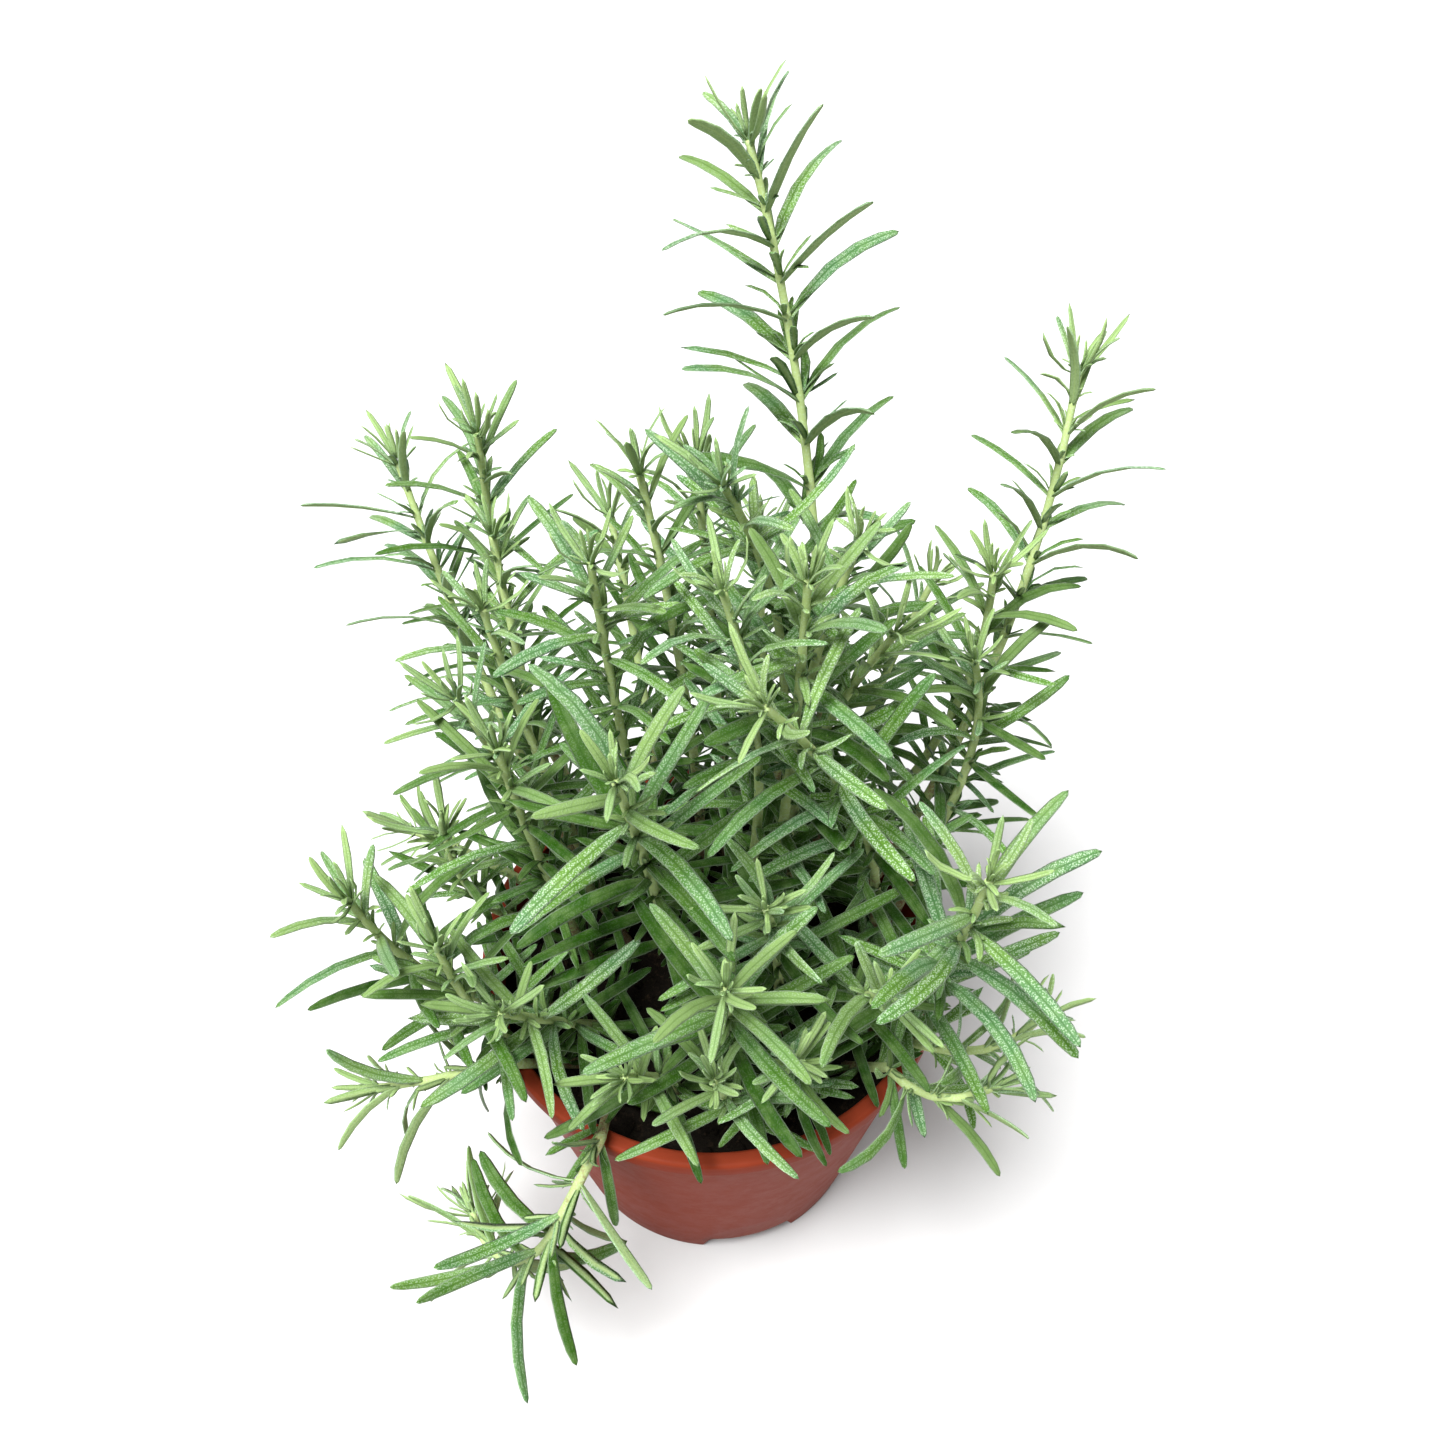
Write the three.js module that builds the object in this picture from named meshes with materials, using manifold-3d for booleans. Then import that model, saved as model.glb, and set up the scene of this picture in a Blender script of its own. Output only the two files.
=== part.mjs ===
// A potted rosemary plant, in millimetres, +Z up. The origin is the middle of the foot that the pot stands on.
//
// The pot is a tapered plastic nursery pot with a rounded lip and a skirt foot cut by four arches. It holds a
// plug of soil, and each stem is rooted in its own socket in that soil. A stem is one solid with its leaves:
// its section is four-cornered, its leaves stand in opposite pairs, and each pair is a quarter turn from the
// next. A leaf is a flat blade drawn out of one side face of the stem: four corners at its root, four corners
// at its widest place, and a point.
import * as THREE from "three";
import { mergeVertices } from "three/addons/utils/BufferGeometryUtils.js";
import Module from "manifold-3d";

const wasm = await Module();
wasm.setup();

// ---- Driving dimensions

const POT = {
  height: 95,
  rimRadius: 60, // outside of the lip
  baseRadius: 43, // outside of the foot
  wall: 1.5,
  lipWidth: 4.2,
  lipDepth: 5,
  lipOverhang: 0.9,
  lipRound: 1.2,
  footHeight: 10, // from the table to the underside of the base
  baseThickness: 2,
  sides: 48,
};
const ARCH = { count: 4, width: 27, height: 8.5, crownShare: 0.68, below: 1, firstAngle: -76 };
const RING = { radius: 39.6, wall: 1.5, gap: 0.8 }; // under the base, seen through the arches
const DRAIN = { count: 8, radius: 4, ringRadius: 27, sides: 12 };
const SOIL = { top: 82, crown: 2.5, gap: 0.3, rings: 3 };
const SOCKET = { depth: 9, clearance: 0.5, floorGap: 0.4, sides: 6 };

const STEM = {
  footRadius: 1.7, // to a corner of the section
  tipRadius: 0.95,
  barrenLength: 24, // no leaves on the first stretch above the soil
  strides: 12, // straight steps that a stem's route is walked in
  spiral: 50, // degrees that the rows of leaves turn along a stem
  budLength: 10, // the folded young leaves past the stem's end
  budRadius: 1.5,
};
const LEAF = {
  rootHeight: 1.7, // how much of the stem's length a leaf takes
  spacing: 10.6, // from one pair to the next
  tipSpacing: 6,
  spacedAfter: 65, // distance from the stem's end at which pairs have their full spacing
  widthShare: 0.105, // of the leaf's length
  widthLeast: 0.7,
  thickness: 1,
  widestAt: 0.52,
  youngShare: 0.4, // length of the pair next to the bud
  grownAfter: 22, // distance from the stem's end at which leaves have their full length
  oldAfter: 0.5, // share of the leafy length, from the stem's end, past which leaves shorten again
  footShare: 0.86, // length of the lowest pair
  tipAngle: 26, // degrees between leaf and stem beside the bud
  grownAngle: 70,
  footAngle: 82,
  arch: 0.085, // how far a blade bows out, as a share of its length
  heelShare: 0.3, // how much of a blade's inner half is too near its own stem to be tested against others
  lengthSpread: 0.12, // chance variation: a share of the length, and degrees
  angleSpread: 9,
  turnSpread: 10,
  archSpread: 0.6,
  gap: 0.4, // least air between a leaf and another stem or its leaves
  ownGap: 0.15, // and between a leaf and its own stem's other leaves
  ownStemGap: 0.1,
  potGap: 0.3,
};

// Where each stem is rooted, [x, y], the compass headings and the leans from upright that it takes from its foot
// to its tip, in degrees, its length above the soil, and the length of its grown leaves. Heading 0 points along
// +X and 90 along +Y, and a lean over 90 runs downhill.
const STEMS = [
  { name: "leader", root: [28, 23], heading: [88, 123], lean: [6, 29.5], length: 203, leaf: 30 },
  { name: "leader_face", root: [13, 8], heading: [-70, -70], lean: [11, 1], length: 153, leaf: 27 },
  { name: "centre", root: [7, 18], heading: [227, 207], lean: [-22, 24], length: 157, leaf: 29 },
  { name: "centre_face", root: [0, 5], heading: [-51, -20], lean: [21, -16], length: 147, leaf: 28 },
  { name: "centre_left", root: [-3, 28], heading: [130, 127], lean: [-1, 18], length: 137, leaf: 27 },
  { name: "centre_back", root: [3, 38], heading: [99, 113], lean: [6, 15], length: 127, leaf: 26 },
  { name: "right_tall", root: [35, 14], heading: [22, 79], lean: [28, 32], length: 161, leaf: 28 },
  { name: "right_inner", root: [29, 29], heading: [20, 0], lean: [41, -5], length: 120, leaf: 26 },
  { name: "right_low", root: [43, 5], heading: [55, 0], lean: [42, -15], length: 106, leaf: 26 },
  { name: "right_face", root: [41, -3], heading: [-108, -161], lean: [-2, 33], length: 146, leaf: 29 },
  { name: "right_side", root: [22, 12], heading: [-18, -7], lean: [-10, 26], length: 124, leaf: 25 },
  { name: "right_front", root: [46, -9], heading: [-89, -72], lean: [32, 7], length: 128, leaf: 33 },
  { name: "right_edge", root: [41, -18], heading: [-71, -38, 43], lean: [25, 49, 67, 78], length: 58, leaf: 27 },
  { name: "right_hanging", root: [34, -28], heading: [-30, -75, 20], lean: [5, 40, 71, 66], length: 60, leaf: 28 },
  { name: "back_right", root: [18, 21], heading: [5, 3], lean: [-3, 14], length: 137, leaf: 26 },
  { name: "left_slim", root: [-13, 16], heading: [172, 176], lean: [7, 3], length: 134, leaf: 28 },
  { name: "left_back", root: [-35, 23], heading: [123, 108], lean: [26, 16], length: 111, leaf: 27 },
  { name: "left_back_low", root: [-27, 17], heading: [150, 150], lean: [21, 9], length: 110, leaf: 27 },
  { name: "left_back_outer", root: [-33, 26], heading: [137, 119], lean: [38, 32], length: 128, leaf: 29 },
  { name: "left_back_inner", root: [-23, 34], heading: [150, 86], lean: [49, 1], length: 136, leaf: 28 },
  { name: "left_mid", root: [-30, -2], heading: [-142, -142], lean: [12, 6], length: 111, leaf: 28 },
  { name: "left_upper", root: [-22, 7], heading: [-174, -175], lean: [17, 17], length: 111, leaf: 27 },
  { name: "left_thin", root: [-44, 12], heading: [-152, -159], lean: [42, -3], length: 66, leaf: 24 },
  { name: "left_thin_back", root: [-40, 20], heading: [190, 178], lean: [34, 36, 45, 60], length: 54, leaf: 24 },
  { name: "left_outer", root: [-39, -11], heading: [-140, -181], lean: [46, 13], length: 89, leaf: 28 },
  { name: "left_low", root: [-41, -25], heading: [-113, -195], lean: [29, 5], length: 79, leaf: 28 },
  { name: "left_edge", root: [-33, -27], heading: [225, 190, 170], lean: [12, 72, 108, 120], length: 62, leaf: 28 },
  {
    name: "left_hanging",
    root: [-25, -34],
    heading: [295, 216, 110],
    lean: [2, 88, 158, 150, 76],
    length: 106,
    leaf: 32,
  },
  { name: "front_big", root: [-8, -8], heading: [-104, -106], lean: [11, 17], length: 139, leaf: 33 },
  { name: "front_face", root: [7, -29], heading: [-102, -93], lean: [17, 19], length: 98, leaf: 33 },
  { name: "front_bud", root: [21, -36], heading: [-100, -96], lean: [20, 20], length: 70, leaf: 22 },
  { name: "front_low", root: [12, -47], heading: [-135, -128], lean: [18, 15], length: 59, leaf: 27 },
  { name: "front_left", root: [-25, -17], heading: [-118, -128], lean: [30, 30], length: 74, leaf: 29 },
  { name: "front_inner", root: [-7, -36], heading: [-110, -128], lean: [14, 36], length: 56, leaf: 28 },
  { name: "front_right", root: [31, -15], heading: [-88, -74], lean: [20, 30], length: 84, leaf: 30 },
  { name: "centre_low", root: [17, -18], heading: [-96, -110], lean: [8, 20], length: 96, leaf: 29 },
  { name: "back_low", root: [14, 46], heading: [90, 96], lean: [20, 28], length: 90, leaf: 27 },
  { name: "back_left", root: [-14, 44], heading: [104, 112], lean: [19, 28], length: 98, leaf: 27 },
  { name: "back_right_low", root: [29, 38], heading: [58, 40], lean: [25, 32], length: 88, leaf: 27 },
  { name: "back_hanging", root: [0, 45], heading: [86, 70], lean: [8, 60, 90], length: 60, leaf: 26 },
];

// ---- Chance, the same on every run

function seededRandom(seed) {
  let state = seed >>> 0;
  return () => {
    state = (state + 0x6d2b79f5) >>> 0;
    let mixed = Math.imul(state ^ (state >>> 15), 1 | state);
    mixed = (mixed + Math.imul(mixed ^ (mixed >>> 7), 61 | mixed)) ^ mixed;
    return ((mixed ^ (mixed >>> 14)) >>> 0) / 4294967296;
  };
}

const { lerp, clamp, degToRad } = THREE.MathUtils;
const spread = (random, half) => (2 * random() - 1) * half;

// The value at share 0 to 1 along a list whose entries are evenly spaced.
function along(list, share) {
  const place = clamp(share, 0, 1) * (list.length - 1);
  const low = Math.min(Math.floor(place), list.length - 2);
  return lerp(list[low], list[low + 1], place - low);
}

// ---- Solids

function solidFrom(geometry) {
  const bare = geometry.clone();
  bare.deleteAttribute("normal");
  bare.deleteAttribute("uv");
  const merged = mergeVertices(bare, 1e-4);
  return new wasm.Manifold(
    new wasm.Mesh({
      numProp: 3,
      vertProperties: merged.attributes.position.array,
      triVerts: new Uint32Array(merged.index.array),
    }),
  );
}

function geometryFrom(solid) {
  const mesh = solid.getMesh();
  const geometry = new THREE.BufferGeometry();
  geometry.setAttribute("position", new THREE.BufferAttribute(mesh.vertProperties, 3));
  geometry.setIndex(new THREE.BufferAttribute(mesh.triVerts, 1));
  geometry.computeVertexNormals();
  return geometry;
}

// A solid of revolution about Z from [radius, height] points that run up the outside.
function turned(profile, sides) {
  const points = profile.map(([radius, height]) => new THREE.Vector2(radius, height));
  return new THREE.LatheGeometry(points, sides).rotateX(Math.PI / 2);
}

// ---- Pot and soil

// Radius of the pot's outer face at a height, and of its inner face.
const outerRadius = (z) => lerp(POT.baseRadius, POT.rimRadius - POT.lipOverhang, z / POT.height);
const innerRadius = (z) => outerRadius(z) - POT.wall;

/** A disc from a little above the table up into the base. */
function ringBelow(radius) {
  const top = POT.footHeight + POT.baseThickness / 4;
  const disc = new THREE.CylinderGeometry(radius, radius, top - RING.gap, POT.sides);
  disc.rotateX(Math.PI / 2);
  disc.translate(0, 0, (top + RING.gap) / 2);
  return solidFrom(disc);
}

function potGeometry() {
  const { height, rimRadius, lipDepth, lipWidth, lipRound, footHeight, baseThickness } = POT;
  const floor = footHeight + baseThickness;
  const lipFoot = height - lipDepth;
  const shell = turned(
    [
      [0, footHeight],
      [innerRadius(footHeight), footHeight],
      [innerRadius(0), 0],
      [outerRadius(0), 0],
      [outerRadius(lipFoot), lipFoot],
      [rimRadius, lipFoot + lipRound],
      [rimRadius, height - lipRound],
      [rimRadius - lipRound, height],
      [rimRadius - lipWidth + lipRound, height],
      [rimRadius - lipWidth, height - lipRound],
      [innerRadius(lipFoot), lipFoot],
      [innerRadius(floor), floor],
      [0, floor],
    ],
    POT.sides,
  );
  let pot = solidFrom(shell);
  const half = ARCH.width / 2;
  const archShape = new THREE.Shape()
    .moveTo(-half, -ARCH.below)
    .lineTo(half, -ARCH.below)
    .quadraticCurveTo(half * ARCH.crownShare, ARCH.height, 0, ARCH.height)
    .quadraticCurveTo(-half * ARCH.crownShare, ARCH.height, -half, -ARCH.below);
  for (let i = 0; i < ARCH.count; i++) {
    const angle = degToRad(ARCH.firstAngle + (360 / ARCH.count) * i);
    const cutter = new THREE.ExtrudeGeometry(archShape, {
      depth: 2 * POT.baseRadius,
      bevelEnabled: false,
      curveSegments: 5,
    });
    cutter.rotateX(Math.PI / 2).rotateZ(angle + Math.PI / 2);
    pot = pot.subtract(solidFrom(cutter));
  }
  pot = pot.add(ringBelow(RING.radius).subtract(ringBelow(RING.radius - RING.wall)));
  for (let i = 0; i < DRAIN.count; i++) {
    const angle = (2 * Math.PI * i) / DRAIN.count;
    const drill = new THREE.CylinderGeometry(DRAIN.radius, DRAIN.radius, 3 * baseThickness, DRAIN.sides);
    drill.rotateX(Math.PI / 2);
    drill.translate(
      DRAIN.ringRadius * Math.cos(angle),
      DRAIN.ringRadius * Math.sin(angle),
      footHeight + baseThickness / 2,
    );
    pot = pot.subtract(solidFrom(drill));
  }
  return geometryFrom(pot);
}

function soilGeometry(stems) {
  const low = POT.footHeight + POT.baseThickness + SOIL.gap;
  const inside = (z) => innerRadius(z) - SOIL.gap;
  const profile = [
    [0, low],
    [inside(low), low],
    [inside(SOIL.top), SOIL.top],
  ];
  for (let ring = 1; ring < SOIL.rings; ring++) {
    const share = 1 - ring / SOIL.rings;
    profile.push([inside(SOIL.top) * share, SOIL.top + SOIL.crown * (1 - share * share)]);
  }
  profile.push([0, SOIL.top + SOIL.crown]);
  let soil = solidFrom(turned(profile, POT.sides / 2));
  for (const stem of stems) {
    const radius = STEM.footRadius + SOCKET.clearance;
    const socket = new THREE.CylinderGeometry(radius, radius, 2 * SOCKET.depth, SOCKET.sides);
    socket.rotateX(Math.PI / 2);
    socket.translate(...stem.root, soilHeight(...stem.root));
    soil = soil.subtract(solidFrom(socket));
  }
  return geometryFrom(soil);
}

function soilHeight(x, y) {
  const share = Math.hypot(x, y) / innerRadius(SOIL.top);
  return SOIL.top + SOIL.crown * (1 - share * share);
}

// ---- A stem's route

// Walks from the root in equal strides, each in the heading and lean that the stem has there.
function stemCurve(stem) {
  const [x, y] = stem.root;
  const surface = soilHeight(x, y);
  const points = [
    new THREE.Vector3(x, y, surface - SOCKET.depth + SOCKET.floorGap),
    new THREE.Vector3(x, y, surface),
  ];
  const stride = stem.length / STEM.strides;
  for (let i = 0; i < STEM.strides; i++) {
    const share = (i + 0.5) / STEM.strides;
    const heading = degToRad(along(stem.heading, share));
    const lean = degToRad(along(stem.lean, share));
    const step = new THREE.Vector3(
      Math.sin(lean) * Math.cos(heading),
      Math.sin(lean) * Math.sin(heading),
      Math.cos(lean),
    );
    points.push(points.at(-1).clone().addScaledVector(step, stride));
  }
  const end = points.at(-1);
  points.push(end.clone().sub(points.at(-2)).setLength(STEM.budLength).add(end));
  return new THREE.CatmullRomCurve3(points, false, "centripetal");
}

// ---- Clearances

// Closest points of two segments, as the vector from the first to the second.
function between(a0, a1, b0, b1) {
  const u = a1.clone().sub(a0);
  const v = b1.clone().sub(b0);
  const w = a0.clone().sub(b0);
  const uu = u.dot(u);
  const uv = u.dot(v);
  const vv = v.dot(v);
  const uw = u.dot(w);
  const vw = v.dot(w);
  const det = uu * vv - uv * uv;
  let s = det > 1e-9 ? clamp((uv * vw - vv * uw) / det, 0, 1) : 0;
  let t = (uv * s + vw) / vv;
  if (t < 0 || t > 1) {
    t = clamp(t, 0, 1);
    s = clamp((uv * t - uw) / uu, 0, 1);
  }
  return b0.clone().addScaledVector(v, t).sub(a0.clone().addScaledVector(u, s));
}

// How far a blade or a stem reaches from its own line in a direction.
function reach(piece, direction) {
  if (!piece.side) return piece.radius;
  return (
    piece.halfWidth * Math.abs(piece.side.dot(direction)) +
    piece.halfThickness * Math.abs(piece.normal.dot(direction))
  );
}

function tooClose(one, other, gap) {
  const room = one.radius + other.radius + gap;
  if (one.middle.distanceTo(other.middle) > one.halfLength + other.halfLength + room) return false;
  const apart = between(one.start, one.end, other.start, other.end);
  const distance = apart.length();
  if (distance > room) return false;
  if (distance < 1e-6) return true;
  apart.divideScalar(distance);
  return distance < reach(one, apart) + reach(other, apart) + gap;
}

function piece(start, end, radius, rest = {}) {
  return {
    start,
    end,
    radius,
    middle: start.clone().lerp(end, 0.5),
    halfLength: start.distanceTo(end) / 2,
    ...rest,
  };
}

// The pot's wall, the soil and the table keep leaves out.
function hitsPot(point, room) {
  const radius = Math.hypot(point.x, point.y);
  if (point.z < room) return true;
  if (point.z > POT.height + room) return false;
  if (radius > outerRadius(Math.min(point.z, POT.height)) + POT.lipOverhang + room) return false;
  if (radius > POT.rimRadius - POT.lipWidth - room) return true;
  return point.z < soilHeight(point.x, point.y) + room;
}

// ---- Leaves

// Places one leaf. root is where it leaves the stem, out is the way the stem's face looks there, and up is the
// way the stem runs.
function bladeFrom(frame, length, angle, turn, arch) {
  const { root, out, up } = frame;
  const across = up.clone().cross(out).normalize();
  const away = out.clone().applyAxisAngle(up, turn);
  const chord = up.clone().multiplyScalar(Math.cos(angle)).addScaledVector(away, Math.sin(angle));
  const side = across.clone().applyAxisAngle(up, turn).normalize();
  const normal = chord.clone().cross(side).normalize();
  const tip = root.clone().addScaledVector(chord, length);
  const waist = root.clone().lerp(tip, LEAF.widestAt).addScaledVector(normal, arch * length);
  const halfWidth = (LEAF.widthShare * length + LEAF.widthLeast) / 2;
  const halfThickness = Math.min(LEAF.thickness, halfWidth) / 2;
  const shape = { side, normal, halfWidth, halfThickness };
  return {
    root,
    waist,
    tip,
    ...shape,
    inner: piece(root.clone().lerp(waist, LEAF.heelShare), waist, halfWidth, shape),
    outer: piece(waist, tip, halfWidth, shape),
  };
}

const blockers = []; // every stem and leaf placed so far, each with the stem it belongs to

function isClear(blade, owner) {
  const room = blade.halfWidth + LEAF.potGap;
  for (const share of [0.25, 0.5, 0.75, 1]) {
    const low = blade.root.clone().lerp(blade.waist, share);
    const high = blade.waist.clone().lerp(blade.tip, share);
    if (hitsPot(low, room) || hitsPot(high, room)) return false;
  }
  return !blockers.some((other) => {
    const own = other.owner === owner;
    if (own && !other.side) return tooClose(blade.outer, other, LEAF.ownStemGap);
    const gap = own ? LEAF.ownGap : LEAF.gap;
    return tooClose(blade.outer, other, gap) || tooClose(blade.inner, other, gap);
  });
}

// A leaf that would touch a neighbour gives way: it turns aside, lifts or drops a little, or stays shorter.
const GIVING_WAY = [];
for (const shorter of [1, 0.86, 0.7, 0.55]) {
  for (const turn of [0, 11, -11, 22, -22]) {
    for (const lift of [0, -10, 10, 20, -20]) {
      GIVING_WAY.push({ shorter, turn, lift, cost: (1 - shorter) * 90 + Math.abs(turn) + Math.abs(lift) });
    }
  }
}
GIVING_WAY.sort((a, b) => a.cost - b.cost);

function growLeaf(stem, frame, fromTip, random) {
  const grown = clamp(fromTip / LEAF.grownAfter, 0, 1);
  const share = clamp(fromTip / (stem.length - STEM.barrenLength), 0, 1);
  const old = clamp((share - LEAF.oldAfter) / (1 - LEAF.oldAfter), 0, 1);
  const size = lerp(LEAF.youngShare, 1, Math.sin((grown * Math.PI) / 2)) * lerp(1, LEAF.footShare, old);
  const length = stem.leaf * size * (1 + spread(random, LEAF.lengthSpread));
  const opening = lerp(lerp(LEAF.tipAngle, LEAF.grownAngle, grown), LEAF.footAngle, old);
  const angle = opening + spread(random, LEAF.angleSpread);
  const turn = spread(random, LEAF.turnSpread);
  const arch = LEAF.arch * (1 + spread(random, LEAF.archSpread));
  for (const way of GIVING_WAY) {
    const blade = bladeFrom(
      frame,
      length * way.shorter,
      degToRad(angle + way.lift),
      degToRad(turn + way.turn),
      arch,
    );
    if (isClear(blade, stem.name)) return blade;
  }
  return null;
}

// ---- A stem with its leaves, as one closed mesh

// Every cross-section is a ring of four corners, in turning order as seen from the tip. A leaf's root is the side
// face between two rings of the stem.
class StemGeometry extends THREE.BufferGeometry {
  constructor() {
    super();
    this.points = [];
    this.faces = [];
  }

  ring(corners) {
    return corners.map((corner) => this.points.push(corner) - 1);
  }

  quad(a, b, c, d) {
    this.faces.push(a, b, c, a, c, d);
  }

  sleeve(low, high, skipped = []) {
    for (let i = 0; i < 4; i++) {
      const j = (i + 1) % 4;
      if (!skipped.includes(i)) this.quad(low[i], low[j], high[j], high[i]);
    }
  }

  point(ring, tip) {
    const apex = this.points.push(tip) - 1;
    for (let i = 0; i < 4; i++) this.faces.push(ring[i], ring[(i + 1) % 4], apex);
  }

  finish() {
    const position = new Float32Array(this.points.flatMap((p) => [p.x, p.y, p.z]));
    this.setAttribute("position", new THREE.BufferAttribute(position, 3));
    this.setIndex(this.faces);
    this.computeVertexNormals();
    return this;
  }
}

// Frames along a stem: where it is, which way it runs, and two directions across it that don't twist.
class StemFrames {
  constructor(curve, spiral) {
    this.curve = curve;
    this.length = curve.getLength();
    this.spiral = degToRad(spiral);
    this.steps = 200;
    this.tangents = Array.from({ length: this.steps + 1 }, (_, i) => curve.getTangentAt(i / this.steps));
    // The first direction across starts along X and is carried along the stem without turning about it.
    let across = new THREE.Vector3(1, 0, 0);
    this.normals = this.tangents.map((tangent) => {
      across = across.clone().projectOnPlane(tangent).normalize();
      return across;
    });
  }

  at(distance) {
    const share = clamp(distance / this.length, 0, 1);
    const step = Math.round(share * this.steps);
    const up = this.tangents[step].clone();
    const first = this.normals[step].clone().applyAxisAngle(up, this.spiral * share);
    return { share, place: this.curve.getPointAt(share), up, first, second: up.clone().cross(first) };
  }

  corners(distance, radius = lerp(STEM.footRadius, STEM.tipRadius, distance / this.length)) {
    const { place, first, second } = this.at(distance);
    return [45, 135, 225, 315].map((degrees) => {
      const angle = degToRad(degrees);
      return place
        .clone()
        .addScaledVector(first, radius * Math.cos(angle))
        .addScaledVector(second, radius * Math.sin(angle));
    });
  }
}

// Distances along the stem of its pairs of leaves, from the bud down.
function pairPlaces(length, foot) {
  const places = [];
  let place = length - LEAF.rootHeight;
  while (place > foot + STEM.barrenLength) {
    places.push(place);
    const spaced = clamp((length - place) / LEAF.spacedAfter, 0, 1);
    place -= lerp(LEAF.tipSpacing, LEAF.spacing, spaced);
  }
  return places.reverse();
}

function growStem(stem, index) {
  const frames = new StemFrames(stemCurve(stem), STEM.spiral);
  const foot = SOCKET.depth;
  const end = frames.length - STEM.budLength;
  const random = seededRandom(index);
  const geometry = new StemGeometry();
  let last = geometry.ring(frames.corners(0));
  geometry.quad(last[3], last[2], last[1], last[0]);
  const reachTo = (distance) => {
    const next = geometry.ring(frames.corners(distance));
    geometry.sleeve(last, next);
    last = next;
  };
  reachTo(foot);
  const places = pairPlaces(end, foot);
  const half = LEAF.rootHeight / 2;
  places.forEach((place, k) => {
    reachTo(place - half);
    const above = geometry.ring(frames.corners(place + half));
    const { up, first, second } = frames.at(place);
    const bare = [];
    // Side i of the section lies between corners i and i + 1. Sides 0 and 2 look along second, 1 and 3 along first.
    for (const i of k % 2 ? [1, 3] : [0, 2]) {
      const out = (i % 2 ? first : second).clone().multiplyScalar(i === 0 || i === 3 ? 1 : -1);
      const j = (i + 1) % 4;
      const rim = [last[i], last[j], above[j], above[i]];
      const root = new THREE.Vector3();
      rim.forEach((corner) => root.addScaledVector(geometry.points[corner], 0.25));
      const blade = growLeaf(stem, { root, out, up }, end - place, random);
      if (!blade) continue;
      bare.push(i);
      const { waist, side, normal, halfWidth, halfThickness } = blade;
      const corner = (across, through) =>
        waist
          .clone()
          .addScaledVector(side, across * halfWidth)
          .addScaledVector(normal, through * halfThickness);
      const middle = geometry.ring([corner(-1, -1), corner(1, -1), corner(1, 1), corner(-1, 1)]);
      geometry.sleeve(rim, middle);
      geometry.point(middle, blade.tip);
      for (const part of [blade.inner, blade.outer]) blockers.push({ ...part, owner: stem.name });
    }
    geometry.sleeve(last, above, bare);
    last = above;
  });
  reachTo(end);
  const bulge = geometry.ring(frames.corners(end + STEM.budLength / 3, STEM.budRadius));
  geometry.sleeve(last, bulge);
  geometry.point(bulge, frames.at(frames.length).place);
  return geometry.finish();
}

// ---- The plant in its pot

const terracotta = new THREE.MeshStandardMaterial({ color: 0x9c4431, roughness: 0.55, metalness: 0 });
const peat = new THREE.MeshStandardMaterial({ color: 0x17120e, roughness: 1, metalness: 0 });
const foliage = new THREE.MeshStandardMaterial({ color: 0x5d8a52, roughness: 0.6, metalness: 0 });

function add(group, name, geometry, material) {
  const mesh = new THREE.Mesh(geometry, material);
  mesh.name = name;
  group.add(mesh);
}

const rosemary = new THREE.Group();
add(rosemary, "pot", potGeometry(), terracotta);
add(rosemary, "soil", soilGeometry(STEMS), peat);

for (const stem of STEMS) {
  const line = stemCurve(stem).getSpacedPoints(STEM.strides + 2);
  for (let i = 1; i < line.length; i++) {
    blockers.push({ ...piece(line[i - 1], line[i], STEM.footRadius), owner: stem.name });
  }
}
STEMS.forEach((stem, index) => add(rosemary, "stem_" + stem.name, growStem(stem, index), foliage));

export default rosemary;
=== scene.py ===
"""Potted rosemary: a nursery pot, its soil and its leafy shoots. An add-on's layout, run as a script."""

import math
import random

import bmesh
import bpy
from bpy.props import FloatProperty, FloatVectorProperty, IntProperty, PointerProperty
from mathutils import Matrix, Quaternion, Vector, noise


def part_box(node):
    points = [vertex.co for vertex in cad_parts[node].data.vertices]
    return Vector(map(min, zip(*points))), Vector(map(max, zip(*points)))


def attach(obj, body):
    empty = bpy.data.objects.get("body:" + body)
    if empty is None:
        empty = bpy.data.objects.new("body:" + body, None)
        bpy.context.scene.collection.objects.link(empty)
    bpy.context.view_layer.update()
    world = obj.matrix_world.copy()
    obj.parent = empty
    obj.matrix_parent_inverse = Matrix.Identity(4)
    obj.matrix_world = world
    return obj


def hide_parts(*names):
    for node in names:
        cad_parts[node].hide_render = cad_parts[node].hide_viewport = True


bl_info = {
    "name": "Potted Rosemary",
    "version": (1, 0, 0),
    "blender": (4, 5, 0),
    "location": "3D Viewport > Sidebar > Rosemary",
    "description": "Adds a rosemary plant in a plastic nursery pot around its packed frame",
    "category": "Add Mesh",
}

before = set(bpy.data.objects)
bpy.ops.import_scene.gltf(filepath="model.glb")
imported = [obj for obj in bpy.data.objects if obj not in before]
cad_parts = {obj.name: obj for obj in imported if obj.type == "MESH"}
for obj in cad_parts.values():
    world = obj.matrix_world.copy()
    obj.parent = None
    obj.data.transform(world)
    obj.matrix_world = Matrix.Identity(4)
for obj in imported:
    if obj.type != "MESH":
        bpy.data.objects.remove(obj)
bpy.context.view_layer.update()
BODY = "root"
SHOOT_NODES = sorted(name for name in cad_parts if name.startswith("stem_"))
MM = 0.001
SOIL_CROWN = 2.5 * MM
UP = Vector((0, 0, 1))


# ---- Settings

def colour(name, description, default):
    return FloatVectorProperty(
        name=name, description=description, subtype="COLOR", size=3, min=0, max=1, default=default
    )


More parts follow.
